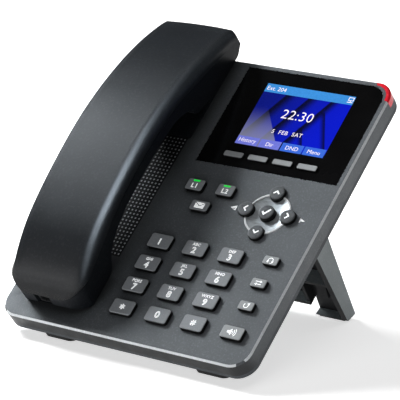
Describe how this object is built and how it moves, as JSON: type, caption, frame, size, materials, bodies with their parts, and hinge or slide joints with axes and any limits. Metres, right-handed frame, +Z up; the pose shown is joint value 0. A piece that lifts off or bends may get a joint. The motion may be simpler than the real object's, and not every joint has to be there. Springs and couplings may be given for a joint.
{
  "type": "desk ip phone",
  "caption": "Corded desk telephone with a leaning slab body, side handset in a cradle, colour screen, keypad, round navigation cluster and fold-out stand.",
  "frame": {"origin": "on the table top, under the middle of the phone's bounding box, with the phone standing on its front feet and its stand", "axes": "+Z up, +X to the user's right, +Y away from the user; the face leans back so that it rises 39.2 degrees above the table"},
  "size_m": [0.1624, 0.1556, 0.1499],
  "materials": {
    "body_plastic": "fine-textured satin",
    "handset_plastic": "fine-textured satin",
    "stand_plastic": "fine-textured satin",
    "grille_plastic": "satin",
    "key_dark": "satin",
    "key_round": "semi-gloss",
    "key_light": "satin",
    "lens": "polished",
    "screen": "backlit",
    "green_light": "lit",
    "red_lamp": "lit translucent",
    "nav_metal": "satin spun",
    "nav_trim": "bright",
    "rubber": "matt",
    "dome_metal": "bright",
    "board": "solder mask",
    "speaker_cone": "coated paper",
    "capsule_metal": "satin",
    "screw_steel": "zinc",
    "jack_plastic": "semi-gloss"
  },
  "bodies": {
    "base": {"display_lens": "lens", "faceplate": "body_plastic", "front_feet": "rubber", "hands_free_mic": "capsule_metal", "handset_headset_jacks": "jack_plastic", "handset_tab": "body_plastic", "housing_screws": "screw_steel", "keypad_mat": "rubber", "lcd_module": "screen", "loudspeaker": "speaker_cone", "main_board": "board", "message_lamp": "red_lamp", "nav_dish": "nav_metal", "nav_ring": "nav_trim", "network_jacks": "jack_plastic", "power_jack": "jack_plastic", "rear_housing": "body_plastic", "snap_domes": "dome_metal", "speaker_grille": "grille_plastic", "stand_pins": "screw_steel"},
    "handset": {"handset_back": "handset_plastic", "handset_front": "handset_plastic", "handset_screws": "screw_steel", "receiver_capsule": "capsule_metal", "handset_mic": "capsule_metal", "handset_jack": "jack_plastic"},
    "stand": {"stand": "stand_plastic", "stand_feet": "rubber"},
    "hook_switch": {"hook_switch": "key_dark"},
    "key_0": {"key_0": "key_dark"},
    "key_1": {"key_1": "key_dark"},
    "key_2": {"key_2": "key_dark"},
    "key_3": {"key_3": "key_dark"},
    "key_4": {"key_4": "key_dark"},
    "key_5": {"key_5": "key_dark"},
    "key_6": {"key_6": "key_dark"},
    "key_7": {"key_7": "key_dark"},
    "key_8": {"key_8": "key_dark"},
    "key_9": {"key_9": "key_dark"},
    "key_star": {"key_star": "key_dark"},
    "key_hash": {"key_hash": "key_dark"},
    "headset_key": {"headset_key": "key_light"},
    "transfer_key": {"transfer_key": "key_light"},
    "redial_key": {"redial_key": "key_light"},
    "speaker_key": {"speaker_key": "key_light"},
    "soft_key_1": {"soft_key_1": "key_light"},
    "soft_key_2": {"soft_key_2": "key_light"},
    "soft_key_3": {"soft_key_3": "key_light"},
    "soft_key_4": {"soft_key_4": "key_light"},
    "line_key_1": {"line_key_1": "key_dark", "line_light_1": "green_light"},
    "line_key_2": {"line_key_2": "key_dark", "line_light_2": "green_light"},
    "message_key": {"message_key": "key_dark"},
    "nav_up": {"nav_up": "key_round"},
    "nav_down": {"nav_down": "key_round"},
    "nav_left": {"nav_left": "key_round"},
    "nav_right": {"nav_right": "key_round"},
    "ok_key": {"ok_key": "key_round"}
  },
  "joints": [
    {"name": "key_0_press", "type": "slide", "parent": "base", "child": "key_0", "axis": [0, 0.632, -0.7749], "range_m": [0, 0.0012], "stiffness_N_per_m": 1200, "springref_m": -0.0002},
    {"name": "key_1_press", "type": "slide", "parent": "base", "child": "key_1", "axis": [0, 0.632, -0.7749], "range_m": [0, 0.0012], "stiffness_N_per_m": 1200, "springref_m": -0.0002},
    {"name": "key_2_press", "type": "slide", "parent": "base", "child": "key_2", "axis": [0, 0.632, -0.7749], "range_m": [0, 0.0012], "stiffness_N_per_m": 1200, "springref_m": -0.0002},
    {"name": "key_3_press", "type": "slide", "parent": "base", "child": "key_3", "axis": [0, 0.632, -0.7749], "range_m": [0, 0.0012], "stiffness_N_per_m": 1200, "springref_m": -0.0002},
    {"name": "key_4_press", "type": "slide", "parent": "base", "child": "key_4", "axis": [0, 0.632, -0.7749], "range_m": [0, 0.0012], "stiffness_N_per_m": 1200, "springref_m": -0.0002},
    {"name": "key_5_press", "type": "slide", "parent": "base", "child": "key_5", "axis": [0, 0.632, -0.7749], "range_m": [0, 0.0012], "stiffness_N_per_m": 1200, "springref_m": -0.0002},
    {"name": "key_6_press", "type": "slide", "parent": "base", "child": "key_6", "axis": [0, 0.632, -0.7749], "range_m": [0, 0.0012], "stiffness_N_per_m": 1200, "springref_m": -0.0002},
    {"name": "key_7_press", "type": "slide", "parent": "base", "child": "key_7", "axis": [0, 0.632, -0.7749], "range_m": [0, 0.0012], "stiffness_N_per_m": 1200, "springref_m": -0.0002},
    {"name": "key_8_press", "type": "slide", "parent": "base", "child": "key_8", "axis": [0, 0.632, -0.7749], "range_m": [0, 0.0012], "stiffness_N_per_m": 1200, "springref_m": -0.0002},
    {"name": "key_9_press", "type": "slide", "parent": "base", "child": "key_9", "axis": [0, 0.632, -0.7749], "range_m": [0, 0.0012], "stiffness_N_per_m": 1200, "springref_m": -0.0002},
    {"name": "key_star_press", "type": "slide", "parent": "base", "child": "key_star", "axis": [0, 0.632, -0.7749], "range_m": [0, 0.0012], "stiffness_N_per_m": 1200, "springref_m": -0.0002},
    {"name": "key_hash_press", "type": "slide", "parent": "base", "child": "key_hash", "axis": [0, 0.632, -0.7749], "range_m": [0, 0.0012], "stiffness_N_per_m": 1200, "springref_m": -0.0002},
    {"name": "headset_key_press", "type": "slide", "parent": "base", "child": "headset_key", "axis": [0, 0.632, -0.7749], "range_m": [0, 0.0012], "stiffness_N_per_m": 1200, "springref_m": -0.0002},
    {"name": "transfer_key_press", "type": "slide", "parent": "base", "child": "transfer_key", "axis": [0, 0.632, -0.7749], "range_m": [0, 0.0012], "stiffness_N_per_m": 1200, "springref_m": -0.0002},
    {"name": "redial_key_press", "type": "slide", "parent": "base", "child": "redial_key", "axis": [0, 0.632, -0.7749], "range_m": [0, 0.0012], "stiffness_N_per_m": 1200, "springref_m": -0.0002},
    {"name": "speaker_key_press", "type": "slide", "parent": "base", "child": "speaker_key", "axis": [0, 0.632, -0.7749], "range_m": [0, 0.0012], "stiffness_N_per_m": 1200, "springref_m": -0.0002},
    {"name": "soft_key_1_press", "type": "slide", "parent": "base", "child": "soft_key_1", "axis": [0, 0.632, -0.7749], "range_m": [0, 0.0008], "stiffness_N_per_m": 1200, "springref_m": -0.0002},
    {"name": "soft_key_2_press", "type": "slide", "parent": "base", "child": "soft_key_2", "axis": [0, 0.632, -0.7749], "range_m": [0, 0.0008], "stiffness_N_per_m": 1200, "springref_m": -0.0002},
    {"name": "soft_key_3_press", "type": "slide", "parent": "base", "child": "soft_key_3", "axis": [0, 0.632, -0.7749], "range_m": [0, 0.0008], "stiffness_N_per_m": 1200, "springref_m": -0.0002},
    {"name": "soft_key_4_press", "type": "slide", "parent": "base", "child": "soft_key_4", "axis": [0, 0.632, -0.7749], "range_m": [0, 0.0008], "stiffness_N_per_m": 1200, "springref_m": -0.0002},
    {"name": "line_key_1_press", "type": "slide", "parent": "base", "child": "line_key_1", "axis": [0, 0.632, -0.7749], "range_m": [0, 0.0012], "stiffness_N_per_m": 1200, "springref_m": -0.0002},
    {"name": "line_key_2_press", "type": "slide", "parent": "base", "child": "line_key_2", "axis": [0, 0.632, -0.7749], "range_m": [0, 0.0012], "stiffness_N_per_m": 1200, "springref_m": -0.0002},
    {"name": "message_key_press", "type": "slide", "parent": "base", "child": "message_key", "axis": [0, 0.632, -0.7749], "range_m": [0, 0.0012], "stiffness_N_per_m": 1200, "springref_m": -0.0002},
    {"name": "nav_up_press", "type": "slide", "parent": "base", "child": "nav_up", "axis": [0, 0.632, -0.7749], "range_m": [0, 0.0012], "stiffness_N_per_m": 1200, "springref_m": -0.0002},
    {"name": "nav_down_press", "type": "slide", "parent": "base", "child": "nav_down", "axis": [0, 0.632, -0.7749], "range_m": [0, 0.0012], "stiffness_N_per_m": 1200, "springref_m": -0.0002},
    {"name": "nav_left_press", "type": "slide", "parent": "base", "child": "nav_left", "axis": [0, 0.632, -0.7749], "range_m": [0, 0.0012], "stiffness_N_per_m": 1200, "springref_m": -0.0002},
    {"name": "nav_right_press", "type": "slide", "parent": "base", "child": "nav_right", "axis": [0, 0.632, -0.7749], "range_m": [0, 0.0012], "stiffness_N_per_m": 1200, "springref_m": -0.0002},
    {"name": "ok_key_press", "type": "slide", "parent": "base", "child": "ok_key", "axis": [0, 0.632, -0.7749], "range_m": [0, 0.0012], "stiffness_N_per_m": 1200, "springref_m": -0.0002},
    {"name": "handset_lift", "type": "slide", "parent": "base", "child": "handset", "axis": [0, -0.632, 0.7749], "range_m": [0, 0.06]},
    {"name": "hook_switch_rise", "type": "slide", "parent": "base", "child": "hook_switch", "axis": [0, -0.632, 0.7749], "range_m": [0, 0.003]},
    {"name": "stand_fold", "type": "hinge", "parent": "base", "child": "stand", "pos_m": [0, 0.01115, 0.0587], "axis": [1, 0, 0], "range_deg": [-86.5, 0]}
  ],
  "couplings": [
    {"joint": "hook_switch_rise", "follows": "handset_lift", "ratio": 0.05}
  ]
}
